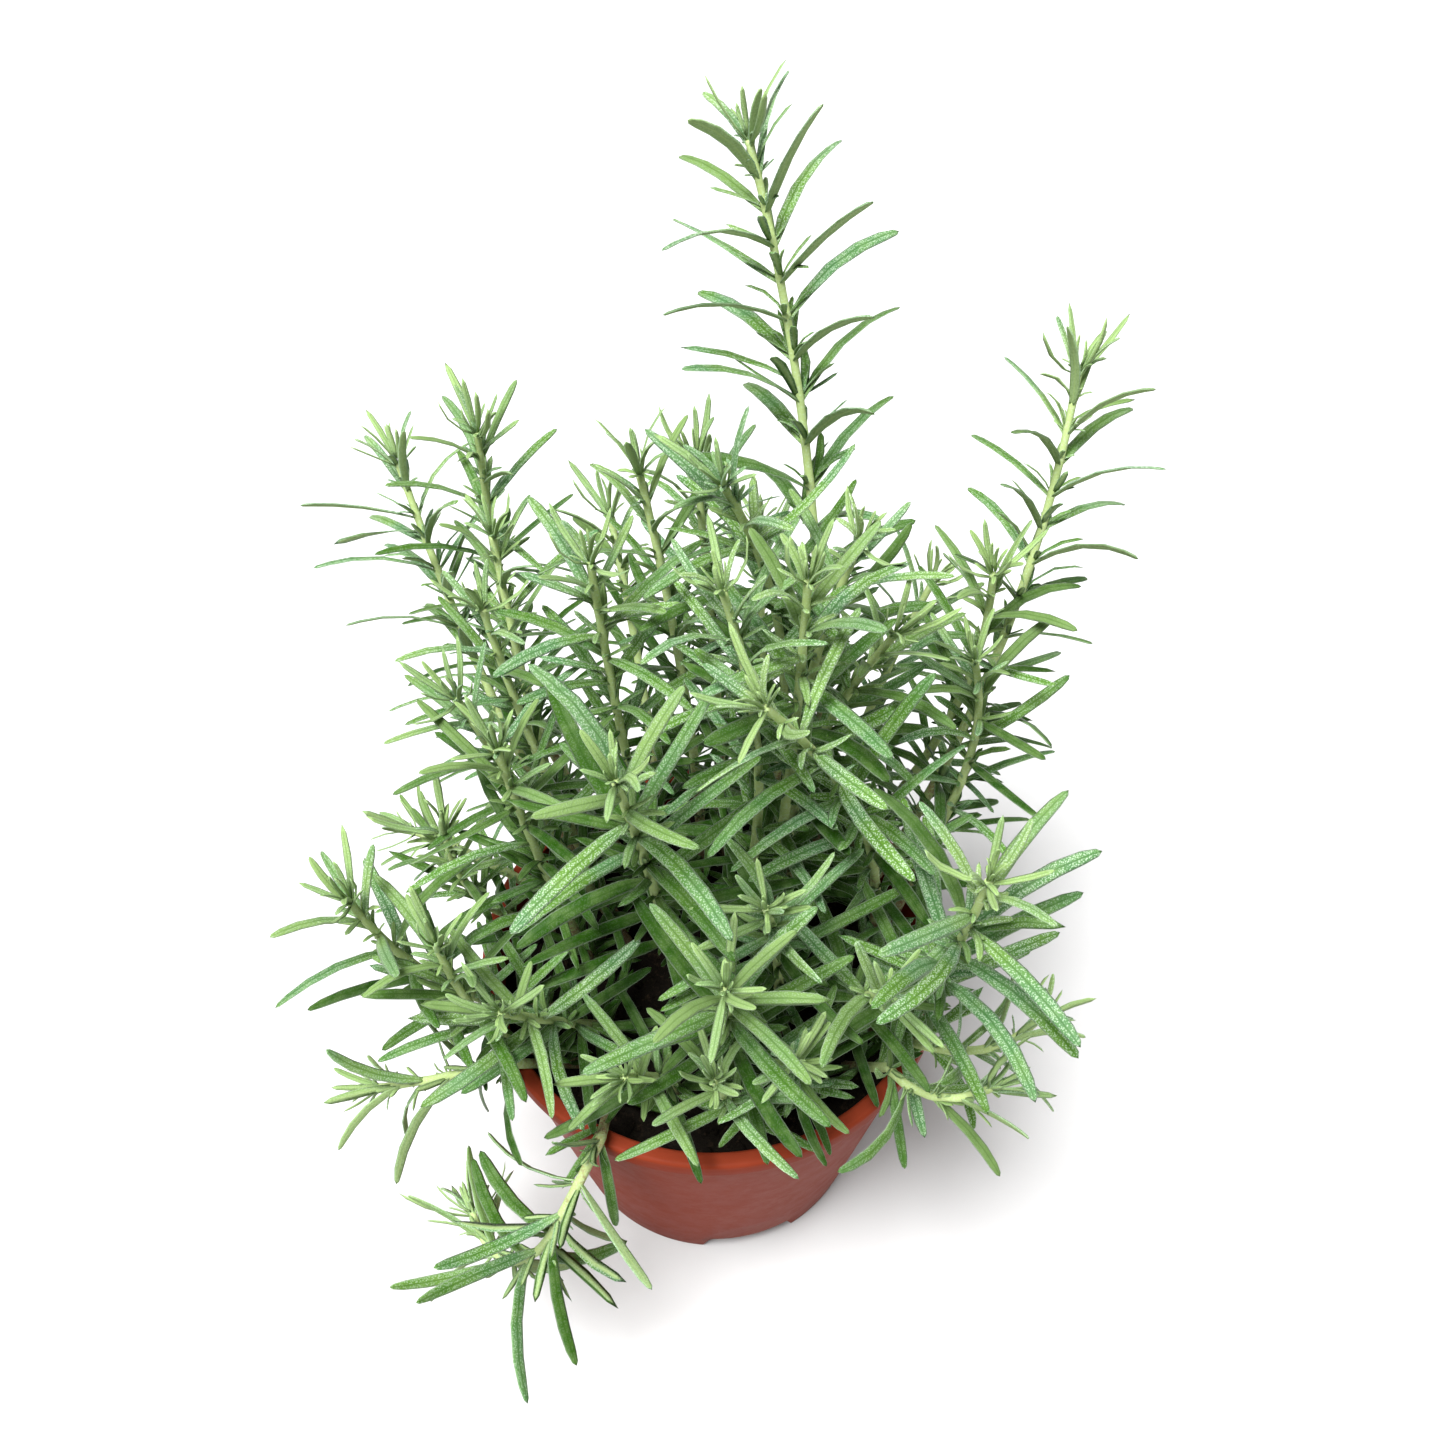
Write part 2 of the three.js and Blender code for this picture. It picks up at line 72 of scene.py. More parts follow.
def length(name, description, default):
    return FloatProperty(name=name, description=description, unit="LENGTH", min=0, default=default)


class PotSettings(bpy.types.PropertyGroup):
    wall: length("Wall", "Thickness of the pot's wall", 0.0015)
    base_radius: length("Foot radius", "Outer radius of the foot", 0.043)
    foot_height: length("Foot height", "From the table to the underside of the base", 0.010)
    ring_radius: length("Ring radius", "Outer radius of the ring under the base", 0.0396)
    ring_gap: length("Ring gap", "From the table to the ring", 0.0008)
    lip_width: length("Lip width", "How far the lip reaches inwards", 0.0042)
    lip_depth: length("Lip depth", "Height of the lip", 0.005)
    lip_overhang: length("Lip overhang", "How far the lip stands proud of the wall", 0.0009)
    arches: IntProperty(name="Arches", description="Arches cut in the foot", min=0, default=4)
    arch_width: length("Arch width", "Width of an arch at the table", 0.027)
    arch_height: length("Arch height", "Height of an arch", 0.0085)
    first_arch: FloatProperty(
        name="First arch", description="Heading of the first arch", unit="ROTATION", default=math.radians(-76)
    )
    plastic: colour("Plastic", "Colour of the wall", (0.18, 0.022, 0.007))
    # Also the paler lip band: rubbed wear together with a painted highlight on the lip top.
    worn: colour("Worn plastic", "Colour of rubbed and dusty places", (0.24, 0.042, 0.019))


class SoilSettings(bpy.types.PropertyGroup):
    crumbs: IntProperty(name="Crumbs", description="Loose crumbs on the soil", min=0, default=700)
    crumb_size: length("Crumb size", "Radius of a large crumb", 0.0016)
    relief: length("Relief", "Height of the lumps in the soil", 0.0018)
    peat: colour("Peat", "Colour of damp peat", (0.009, 0.007, 0.005))
    fibre: colour("Fibre", "Colour of drier bits", (0.055, 0.036, 0.022))


class ShootSettings(bpy.types.PropertyGroup):
    grown: colour("Grown leaf", "Upper side of a grown leaf", (0.08, 0.188, 0.022))
    # Painted shade: the colour of leaves shaded inside the bush, also painted into the midrib groove.
    deep: colour("Deep leaf", "Upper side of a dark leaf", (0.014, 0.054, 0.002))
    bluish: colour("Bluish leaf", "Upper side of a leaf with a bloom on it", (0.065, 0.165, 0.075))
    young: colour("Young leaf", "Upper side of a young leaf", (0.25, 0.37, 0.13))
    pebble: colour("Pebbles", "Pale bumps on a leaf's upper side", (0.54, 0.67, 0.5))
    felt: colour("Felt", "Underside of a leaf", (0.17, 0.25, 0.085))
    green_stem: colour("Green stem", "Young stem", (0.36, 0.46, 0.18))
    woody_stem: colour("Woody stem", "Old stem", (0.2, 0.13, 0.065))
    leaf_width: FloatProperty(
        name="Leaf width", description="Width of a leaf against its solid's", min=0.5, max=1.2, default=0.84
    )
    leaf_thickness: length("Leaf thickness", "Thickness of a leaf", 0.0014)
    seed: IntProperty(name="Seed", description="Picks the chance variation", default=11)


class StageSettings(bpy.types.PropertyGroup):
    floor_size: length("Floor size", "Width of the floor", 8.0)
    floor: colour("Floor", "Colour of the floor", (0.5, 0.5, 0.5))
    sky_strength: FloatProperty(name="Sky", description="Strength of the even light", min=0, default=0.31)
    key_strength: FloatProperty(name="Key", description="Strength of the soft key light", min=0, default=7.9)
    key_spread: FloatProperty(
        name="Key spread",
        description="Angle that the key light fills",
        unit="ROTATION",
        default=math.radians(28),
    )
    camera_place: FloatVectorProperty(
        name="Camera",
        description="Where the camera stands",
        subtype="TRANSLATION",
        default=(0.0026, -0.205, 0.434),
    )
    camera_pitch: FloatProperty(
        name="Pitch", description="How far the camera looks down", unit="ROTATION", default=math.radians(50.3)
    )
    lens: FloatProperty(name="Lens", description="Focal length in mm", default=37.37)


# ---- Materials

class Nodes:
    """Builds one material's nodes: each method adds a node and gives back its output."""

    def __init__(self, name):
        self.material = bpy.data.materials.new(name)
        self.material.use_nodes = True
        self.tree = self.material.node_tree
        self.tree.nodes.clear()
        self.output = self.tree.nodes.new("ShaderNodeOutputMaterial")

    def put(self, socket, value):
        if isinstance(value, bpy.types.NodeSocket):
            self.tree.links.new(value, socket)
        elif hasattr(value, "__len__"):
            opaque = len(socket.default_value) == 4 and len(value) == 3
            socket.default_value = (*value, 1.0) if opaque else value
        else:
            socket.default_value = value

    def add(self, kind, inputs=None, **settings):
        node = self.tree.nodes.new("ShaderNode" + kind)
        for key, value in settings.items():
            setattr(node, key, value)
        for key, value in (inputs or {}).items():
            self.put(node.inputs[key], value)
        return node

    def place(self):
        return self.add("TexCoord").outputs["Object"]

    def attribute(self, name):
        return self.add("Attribute", attribute_name=name).outputs["Fac"]

    def noise(self, scale, detail=3.0, roughness=0.55, vector=None):
        inputs = {"Scale": scale, "Detail": detail, "Roughness": roughness, "Vector": vector or self.place()}
        return self.add("TexNoise", inputs).outputs["Fac"]

    def math(self, operation, a, b=0.0, clamp=False):
        node = self.add("Math", operation=operation, use_clamp=clamp)
        self.put(node.inputs[0], a)
        self.put(node.inputs[1], b)
        return node.outputs[0]

    def between(self, value, low, high, out_low=0.0, out_high=1.0):
        """value's place from low to high, eased, as out_low to out_high."""
        inputs = {"Value": value, "From Min": low, "From Max": high, "To Min": out_low, "To Max": out_high}
        return self.add("MapRange", inputs, interpolation_type="SMOOTHSTEP").outputs["Result"]

    def mix(self, factor, a, b, blend="MIX"):
        node = self.add("Mix", data_type="RGBA", blend_type=blend)
        self.put(node.inputs["Factor"], factor)
        self.put(node.inputs[6], a)
        self.put(node.inputs[7], b)
        return node.outputs[2]

    def bump(self, height, distance, strength=1.0, under=None):
        inputs = {"Height": height, "Distance": distance, "Strength": strength}
        if under is not None:
            inputs["Normal"] = under
        return self.add("Bump", inputs).outputs["Normal"]

    def surface(self, **inputs):
        shader = self.add("BsdfPrincipled", {key.replace("_", " "): value for key, value in inputs.items()})
        self.tree.links.new(shader.outputs["BSDF"], self.output.inputs["Surface"])
        return self.material


def leaf_material(look):
    """Pebbled green above with a sunk midrib and a rolled pale edge, felted grey-green below; painted shade
    darkens inner leaves and the midrib groove, and painted highlight makes lit leaves paler and bluer.
    """
    nodes = Nodes("rosemary_leaf")
    uv = nodes.add("UVMap", uv_map="blade").outputs["UV"]
    split = nodes.add("SeparateXYZ", {"Vector": uv})
    lengthwise, crosswise = split.outputs["X"], split.outputs["Y"]
    from_middle = nodes.add("Math", {0: crosswise, 1: 2.0, 2: -1.0}, operation="MULTIPLY_ADD").outputs[0]
    off_middle = nodes.math("ABSOLUTE", from_middle)
    age = nodes.attribute("age")
    tone = nodes.attribute("tone")
    under = nodes.attribute("under")

    # Painted light and shade: a leaf goes from the shaded colour to the grown colour with its tone.
    grown = nodes.mix(tone, look.deep, look.grown)
    top = nodes.mix(nodes.between(age, 0.0, 0.55), look.young, grown)
    # A bluish bloom in random patches, shown more on brighter-toned leaves: partly real bloom, partly a
    # painted sky sheen on lit leaves.
    cool = nodes.noise(48.0, 1.0)
    bloom_and_sheen = nodes.math("MULTIPLY", nodes.between(cool, 0.4, 0.62, 0.0, 0.75), nodes.between(tone, 0.2, 0.9))
    top = nodes.mix(bloom_and_sheen, top, look.bluish)
    patchy = nodes.noise(260.0, 2.0)
    top = nodes.mix(nodes.between(patchy, 0.35, 0.75, 0.0, 0.18), top, look.young)
    heel = nodes.between(lengthwise, 0.16, 0.0, 0.0, 0.55)
    top = nodes.mix(heel, top, look.young)
    cells = nodes.add("TexVoronoi", {"Scale": 2700.0, "Vector": nodes.place()}, feature="F1")
    grains = nodes.between(cells.outputs["Distance"], 0.62, 0.18)
    # Real pale pebbles, made whiter on brighter-toned leaves: a painted highlight on lit leaves.
    painted_highlight = nodes.between(tone, 0.0, 1.4, 0.05, 0.68)
    beside_rib = nodes.between(off_middle, 0.02, 0.3, 0.1, 1.0)
    pebbles_and_highlight = nodes.math("MULTIPLY", nodes.math("MULTIPLY", grains, painted_highlight), beside_rib)
    top = nodes.mix(pebbles_and_highlight, top, look.pebble)
    # Painted shade along the sunk midrib groove.
    painted_rib_shade = nodes.between(off_middle, 0.16, 0.03, 0.0, 0.35)
    top = nodes.mix(painted_rib_shade, top, look.deep)
    edge = nodes.between(off_middle, 0.78, 0.98, 0.0, 0.3)
    top = nodes.mix(edge, top, look.pebble)

    wool = nodes.noise(2600.0, 2.0)
    felt = nodes.mix(nodes.between(wool, 0.3, 0.7, 0.0, 0.35), look.felt, look.pebble)
    felt = nodes.mix(nodes.between(off_middle, 0.2, 0.05, 0.0, 0.5), felt, look.green_stem)
    felt = nodes.mix(nodes.between(age, 0.0, 0.6, 0.55, 0.25), felt, look.young)
    colour_all = nodes.mix(nodes.between(under, 0.35, 0.65), top, felt)

    rough = nodes.between(under, 0.35, 0.65, 0.38, 0.85)
    height = nodes.math("ADD", grains, nodes.math("MULTIPLY", wool, 0.35))
    normal = nodes.bump(height, 0.00012, 0.55)
    return nodes.surface(
        Base_Color=colour_all,
        Roughness=rough,
        Normal=normal,
        Specular_IOR_Level=0.07,
    )


def stem_material(look):
    """Downy green at the tip, turning to flaking tan bark at the foot."""
    nodes = Nodes("rosemary_stem")
    age = nodes.attribute("age")
    flakes = nodes.noise(520.0, 4.0, 0.7)
    turned = nodes.math("ADD", age, nodes.between(flakes, 0.3, 0.7, -0.16, 0.16))
    base = nodes.mix(nodes.between(turned, 0.5, 0.85), look.green_stem, look.woody_stem)
    down = nodes.noise(1900.0, 2.0)
    base = nodes.mix(nodes.between(down, 0.45, 0.75, 0.0, 0.35), base, look.pebble)
    dark = nodes.between(flakes, 0.52, 0.3, 0.0, 0.45)
    dark = nodes.math("MULTIPLY", dark, nodes.between(age, 0.35, 0.8))
    base = nodes.mix(dark, base, (0.05, 0.03, 0.018))
    height = nodes.math("ADD", flakes, nodes.math("MULTIPLY", down, 0.5))
    return nodes.surface(
        Base_Color=base, Roughness=0.8, Normal=nodes.bump(height, 0.0002, 0.6), Specular_IOR_Level=0.15
    )


def pot_material(look):
    """Satin moulded plastic with faint flow marks, rubbed edges, a paler lip band that is partly rubbed wear
    and partly a painted highlight on the lip top, and a little dried soil.
    """
    nodes = Nodes("pot_plastic")
    place = nodes.place()
    height = nodes.add("SeparateXYZ", {"Vector": place}).outputs["Z"]
    drift = nodes.noise(22.0, 3.0)
    base = nodes.mix(nodes.between(drift, 0.3, 0.7, 0.0, 0.15), look.plastic, look.worn)
    scuffs = nodes.noise(170.0, 5.0, 0.75)
    scuffed = nodes.between(scuffs, 0.62, 0.8, 0.0, 0.22)
    base = nodes.mix(scuffed, base, look.worn)
    # A paler band round the lip top: partly rubbed wear, partly a painted highlight where the light falls on
    # the lip.
    rim = nodes.between(height, 0.0925, 0.0948, 0.0, 0.55)
    base = nodes.mix(rim, base, look.worn)
    splash = nodes.math("MULTIPLY", nodes.between(nodes.noise(75.0, 4.0, 0.7), 0.56, 0.72), 0.4)
    splash = nodes.math("MULTIPLY", splash, nodes.between(height, 0.04, 0.0, 0.0, 1.0))
    base = nodes.mix(splash, base, (0.05, 0.025, 0.015))
    rough = nodes.between(scuffs, 0.3, 0.75, 0.4, 0.5)
    grain = nodes.noise(2400.0, 2.0)
    bumped = nodes.bump(nodes.math("ADD", nodes.math("MULTIPLY", scuffs, 0.3), grain), 0.00006, 0.2)
    return nodes.surface(Base_Color=base, Roughness=rough, Normal=bumped, Specular_IOR_Level=0.03)


def soil_material(look):
    """Damp peat, near black, with drier brown specks."""
    nodes = Nodes("soil_peat")
    coarse = nodes.noise(420.0, 5.0, 0.75)
    fine = nodes.noise(1600.0, 3.0, 0.7)
    base = nodes.mix(nodes.between(coarse, 0.52, 0.78), look.peat, look.fibre)
    base = nodes.mix(nodes.between(fine, 0.62, 0.8, 0.0, 0.6), base, look.fibre)
    height = nodes.math("ADD", coarse, nodes.math("MULTIPLY", fine, 0.6))
    return nodes.surface(
        Base_Color=base, Roughness=0.95, Normal=nodes.bump(height, 0.0009, 0.9), Specular_IOR_Level=0.08
    )


# ---- Pieces

def as_mesh(bm, name):
    mesh = bpy.data.meshes.new(name)
    bm.to_mesh(mesh)
    bm.free()
    return mesh


def finish_piece(bm, name, materials, node):
    """Makes the mesh an object that rides on the frame and stands for its node."""
    mesh = as_mesh(bm, name)
    for material in materials:
        mesh.materials.append(material)
    mesh.polygons.foreach_set("use_smooth", [True] * len(mesh.polygons))
    piece = bpy.data.objects.new(name, mesh)
    bpy.context.scene.collection.objects.link(piece)
    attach(piece, BODY)
    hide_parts(node)
    return piece


def turned_solid(profile, steps):
    """Spins a profile of (radius, height) points, axis to axis, into a closed solid."""
    bm = bmesh.new()
    points = [bm.verts.new((radius, 0, height)) for radius, height in profile]
    edges = [bm.edges.new(pair) for pair in zip(points, points[1:])]
    bmesh.ops.spin(
        bm,
        geom=points + edges,
        cent=(0, 0, 0),
        axis=(0, 0, 1),
        angle=math.tau,
        steps=steps,
        use_merge=True,
    )
    bmesh.ops.remove_doubles(bm, verts=bm.verts, dist=1e-6)
    bmesh.ops.recalc_face_normals(bm, faces=bm.faces)
    return bm


def arc(radius, height, bend, start, end, steps=5):
    """Points of a rounded corner about (radius, height), from one angle to another in degrees."""
    turns = [math.radians(start + (end - start) * i / steps) for i in range(steps + 1)]
    return [(radius + bend * math.cos(a), height + bend * math.sin(a)) for a in turns]


def pot_profile(pot, rim, height):
    def outside(z):
        return pot.base_radius + (rim - pot.lip_overhang - pot.base_radius) * z / height

    def inside(z):
        return outside(z) - pot.wall

    floor = pot.foot_height + 2 * MM
    edge = pot.wall * 0.45
    lip_foot = height - pot.lip_depth
    bend = 1.1 * MM
    ring = pot.ring_radius
    profile = [(0, pot.foot_height), (ring - pot.wall, pot.foot_height)]
    profile += arc(ring - pot.wall + edge, pot.ring_gap + edge, edge, 180, 270, 3)
    profile += arc(ring - edge, pot.ring_gap + edge, edge, 270, 360, 3)
    profile += [(ring, pot.foot_height), (inside(pot.foot_height) - 1 * MM, pot.foot_height)]
    profile += [(inside(pot.foot_height), pot.foot_height - 0.8 * MM)]
    profile += arc(inside(0) + edge, edge, edge, 180, 270, 3)
    profile += arc(outside(0) - edge, edge, edge, 270, 360, 3)
    profile += [(outside(height * share), height * share) for share in (0.1, 0.25, 0.4, 0.6, 0.8)]
    profile += [(outside(lip_foot - 0.8 * MM), lip_foot - 0.8 * MM), (outside(lip_foot), lip_foot)]
    profile += arc(rim - 0.4 * MM, lip_foot + 0.5 * MM, 0.4 * MM, -60, 0, 3)
    profile += arc(rim - bend, height - bend, bend, 0, 90)
    profile += arc(rim - pot.lip_width + bend, height - bend, bend, 90, 180)
    profile += [(inside(lip_foot) + 0.2 * MM, lip_foot - 0.3 * MM)]
    profile += [(inside(lip_foot - 2 * MM), lip_foot - 2 * MM)]
    profile += [(inside(height * share), height * share) for share in (0.7, 0.45, 0.25)]
    profile += arc(inside(floor) - 2 * MM, floor + 2 * MM, 2 * MM, 0, -90, 4)
    return profile + [(0, floor)]


def raise_arches(bm, pot):
    """Lifts the foot's lower edge into an arch at each cut-out."""
    half = pot.arch_width / 2
    for vert in bm.verts:
        if vert.co.z > pot.wall or math.hypot(vert.co.x, vert.co.y) < pot.ring_radius + 0.5 * MM:
            continue
        heading = math.atan2(vert.co.y, vert.co.x) - pot.first_arch
        pitch = math.tau / pot.arches
        off = (heading + pitch / 2) % pitch - pitch / 2
        share = abs(off) * pot.base_radius / half
        if share < 1:
            vert.co.z += pot.arch_height * (1 - share**2.4) ** 0.6


class ROSEMARY_OT_add_pot(bpy.types.Operator):
    """Add the tapered pot with its rounded lip and arched foot"""

    bl_idname = "rosemary.add_pot"
    bl_label = "Add Pot"
    bl_options = {"REGISTER", "UNDO"}

    def execute(self, context):
        pot = context.scene.rosemary_pot
        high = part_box("pot")[1]
        bm = turned_solid(pot_profile(pot, high.x, high.z), steps=180)
        raise_arches(bm, pot)
        finish_piece(bm, "nursery_pot", [pot_material(pot)], "pot")
        return {"FINISHED"}


def crumb_mesh():
    """A little ball of unit radius."""
    bm = bmesh.new()
    bmesh.ops.create_icosphere(bm, subdivisions=2, radius=1)
    return as_mesh(bm, "crumb")


def copies(bm, mesh, count):
    """Adds copies of a mesh to one from which nothing was deleted, and gives back each copy's vertices."""
    first, size = len(bm.verts), len(mesh.vertices)
    for _ in range(count):
        bm.from_mesh(mesh)
    verts = list(bm.verts)[first:]
    return [verts[number * size : (number + 1) * size] for number in range(count)]


def crumbs_over(soil, radius, chance):
    """Crushed little balls strewn over the soil."""
    bm = bmesh.new()
    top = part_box("soil")[1].z
    for verts in copies(bm, crumb_mesh(), soil.crumbs):
        heading = chance.uniform(0, math.tau)
        reach = radius * math.sqrt(chance.random())
        x, y = reach * math.cos(heading), reach * math.sin(heading)
        size = soil.crumb_size * (0.3 + 0.7 * chance.random() ** 3)
        place = Vector((x, y, soil_height(x, y, radius, soil, top) + size * 0.25))
        pivot = Vector([chance.uniform(-1, 1) for _ in range(3)]).normalized()
        turn = Quaternion(pivot, chance.uniform(0, math.tau)).to_matrix()
        squash = Vector((1, chance.uniform(0.5, 1), chance.uniform(0.4, 0.8))) * size
        shape = turn @ Matrix.Diagonal(squash)
        for vert in verts:
            vert.co = place + shape @ (vert.co * (1 + 0.3 * noise.noise(vert.co * 1.5 + place * 500)))
    return as_mesh(bm, "crumbs")


def soil_height(x, y, radius, soil, top):
    """Height of the soil's lumpy top at a place."""
    crown = SOIL_CROWN * (math.hypot(x, y) / radius) ** 2
    lumps = noise.fractal(Vector((x, y, 0)) * 160, 0.6, 2.2, 4)
    return top - crown + soil.relief * lumps


class ROSEMARY_OT_add_soil(bpy.types.Operator):
    """Add the plug of peat with a lumpy, crumbly top"""

    bl_idname = "rosemary.add_soil"
    bl_label = "Add Soil"
    bl_options = {"REGISTER", "UNDO"}

    def execute(self, context):
        soil = context.scene.rosemary_soil
        pot = context.scene.rosemary_pot
        low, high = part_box("soil")
        radius = high.x
        rings = 40
        foot_radius = pot.base_radius + (radius - pot.base_radius) * 0.06
        profile = [(0, low.z), (foot_radius, low.z), (radius, high.z - 2.6 * MM)]
        profile += [(radius * (1 - ring / rings), high.z) for ring in range(1, rings + 1)]
        bm = turned_solid(profile, steps=150)
        for vert in bm.verts:
            if vert.co.z > high.z - 1 * MM:
                vert.co.z = soil_height(vert.co.x, vert.co.y, radius, soil, high.z)
        bm.from_mesh(crumbs_over(soil, radius * 0.96, random.Random(5)))
        finish_piece(bm, "soil_plug", [soil_material(soil)], "soil")
        return {"FINISHED"}


# ---- Shoots: what a stem's solid says about its leaves

class Blade:
    """One leaf: where it starts and ends, which way its width and its upper side point, and its size."""

    def __init__(self, root, tip, side, bow, half_width, age, tone=0.5):
        self.root = root
        self.tip = tip
        self.bow = bow
        self.half_width = half_width
        self.age = age
        self.tone = tone
        self.twist = 0.0
        self.sway = 0.0
        chord = (tip - root).normalized()
        self.side = (side - chord * side.dot(chord)).normalized()
        self.normal = self.side.cross(chord).normalized()


class Shoot:
    """A stem's rings from foot to tip, and the leaves that stand on them, read off the stem's solid."""

    def __init__(self, node):
        bm = bmesh.new()
        bm.from_mesh(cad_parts[node].data)
        bm.transform(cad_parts[node].matrix_world)
        bmesh.ops.remove_doubles(bm, verts=bm.verts, dist=2e-6)
        blades = []
        for tip in (vert for vert in bm.verts if len(vert.link_faces) == 4):
            waist = self.next_to(tip)
            heel = set().union(*(self.next_to(vert) for vert in waist)) - waist - {tip}
            if len(heel) == 4:
                blades.append((tip, waist, heel))
        # The bud's section is square, and a leaf's is flat.
        bud = min(blades, key=lambda blade: self.flatness(blade[1]))
        blades.remove(bud)
        taken = {bud[0]} | bud[1] | {vert for tip, waist, _ in blades for vert in waist | {tip}}
        self.bud_tip = bud[0].co.copy()
        rings, ring = [], bud[2]
        while ring:
            rings.append(ring)
            taken |= ring
            ring = set().union(*(self.next_to(vert) for vert in ring)) - taken
        rings.reverse()
        self.centres = [self.middle(ring) for ring in rings]
        self.radii = [max((vert.co - self.middle(ring)).length for vert in ring) for ring in rings]
        level = {vert: number for number, ring in enumerate(rings) for vert in ring}
        self.run = [0.0]
        for low, high in zip(self.centres, self.centres[1:]):
            self.run.append(self.run[-1] + (high - low).length)
        self.leaves = [self.read(tip, waist, heel, level) for tip, waist, heel in blades]
        self.leaves.sort(key=lambda leaf: (leaf["level"], leaf["root"].x, leaf["root"].y))
        bm.free()

    @staticmethod
    def next_to(vert):
        return {edge.other_vert(vert) for edge in vert.link_edges}

    @staticmethod
    def middle(verts):
        return sum((vert.co for vert in verts), Vector()) / len(verts)

    @staticmethod
    def spans(waist):
        """The waist's wide way and its thin way: the two directions from one corner to its neighbours."""
        corner, *others = sorted(waist, key=lambda vert: tuple(vert.co))
        across = sorted((vert.co - corner.co for vert in others), key=lambda span: span.length)
        return across[1], across[0]

    @classmethod
    def flatness(cls, waist):
        wide, thin = cls.spans(waist)
        return wide.length / max(thin.length, 1e-9)

    def read(self, tip, waist, heel, level):
        place = min(level[vert] for vert in heel)
        along = (self.centres[place + 1] - self.centres[place]).normalized()
        root = self.middle(heel)
        side = self.spans(waist)[0]
        chord = tip.co - root
        # The upper side looks towards the stem's tip, and leaves turn it to the light.
        if side.cross(chord).dot(along + UP * 1.5) < 0:
            side = -side
        normal = side.cross(chord).normalized()
        share = (self.middle(waist) - root).dot(chord) / chord.length_squared
        return {
            "level": place,
            "root": root,
            "tip": tip.co.copy(),
            "side": side.normalized(),
            "half_width": side.length / 2,
            "bow": (self.middle(waist) - root.lerp(tip.co, share)).dot(normal),
            "along": along,
            "out": (root - (self.centres[place] + self.centres[place + 1]) / 2).normalized(),
        }


# ---- Shoots: fine meshes

# A leaf's section from one rolled edge over the crown and the sunk midrib to the other, then back under it:
# across, through. An outline runs from heel to tip: along, half-width.
LEAF_SECTION = [(1, -0.15), (0.62, 0.85), (0, 0.4), (-0.62, 0.85), (-1, -0.15)]
LEAF_UNDERSIDE = [(-0.66, -0.8), (0, -0.25), (0.66, -0.8)]
LEAF_OUTLINE = [(0, 0.4), (0.07, 0.62), (0.2, 0.92), (0.45, 1), (0.7, 0.97), (0.88, 0.8), (0.97, 0.48)]
SMALL_SECTION = [(1, -0.1), (0.5, 0.8), (0, 0.4), (-0.5, 0.8), (-1, -0.1)]
SMALL_UNDERSIDE = [(0, -0.7)]
SMALL_OUTLINE = [(0, 0.45), (0.25, 0.85), (0.6, 1), (0.88, 0.75)]


def leaf_mesh(name, section, underside, outline):
    """A straight leaf of unit length and half-width along Y, upper side towards +Z, with its maps."""
    bm = bmesh.new()
    blade = bm.loops.layers.uv.new("blade")
    under = bm.verts.layers.float.new("under")
    bm.verts.layers.float.new("age")
    bm.verts.layers.float.new("tone")
    corners = section + underside
    ring = bmesh.ops.create_circle(bm, segments=len(corners), radius=1, cap_ends=True)["verts"]
    for vert, (across, through) in zip(ring, corners):
        vert.co = (across * outline[0][1], 0, through * outline[0][1])
        vert[under] = 1.0 if (across, through) in underside else 0.0
    edges = [edge for edge in bm.edges if edge.is_boundary]
    for (start, wide), (end, wider) in zip(outline, outline[1:]):
        grown = bmesh.ops.extrude_edge_only(bm, edges=edges)["geom"]
        ring = [item for item in grown if isinstance(item, bmesh.types.BMVert)]
        edges = [item for item in grown if isinstance(item, bmesh.types.BMEdge)]
        edges = [edge for edge in edges if all(vert in ring for vert in edge.verts)]
        bmesh.ops.scale(bm, vec=(wider / wide, 1, 1), verts=ring)
        bmesh.ops.scale(bm, vec=(1, 1, min(1.0, 0.45 + wider) / min(1.0, 0.45 + wide)), verts=ring)
        bmesh.ops.translate(bm, vec=(0, end - start, 0), verts=ring)
    for face in bm.faces:
        for loop in face.loops:
            x, y, _ = loop.vert.co
            wide = max(abs(vert.co.x) for vert in bm.verts if abs(vert.co.y - y) < 1e-6)
            loop[blade].uv = (y, 0.5 + 0.5 * x / wide)
    end = bmesh.ops.extrude_edge_only(bm, edges=edges)["geom"]
    close = [item for item in end if isinstance(item, bmesh.types.BMVert)]
    for face in bm.faces:
        for loop in face.loops:
            if loop.vert in close:
                loop[blade].uv = (1.0, loop[blade].uv.y)
    bmesh.ops.pointmerge(bm, verts=close, merge_co=(0, 1, 0))
    bmesh.ops.recalc_face_normals(bm, faces=bm.faces)
    for face in bm.faces:
        face.material_index = 1
    return as_mesh(bm, name)


def add_blades(bm, mesh, blades, half_thickness):
    """Adds leaves to the shoot, each bent along its bow and turned by its twist."""
    made = copies(bm, mesh, len(blades))
    age, tone = bm.verts.layers.float["age"], bm.verts.layers.float["tone"]
    for blade, verts in zip(blades, made):
        chord = blade.tip - blade.root
        frames = {}
        for vert in verts:
            across, along, through = vert.co
            key = round(along, 4)
            if key not in frames:
                frames[key] = section_at(blade, chord, along, half_thickness)
            middle, side, normal = frames[key]
            vert.co = middle + side * across + normal * through
            vert[age] = blade.age
            vert[tone] = blade.tone


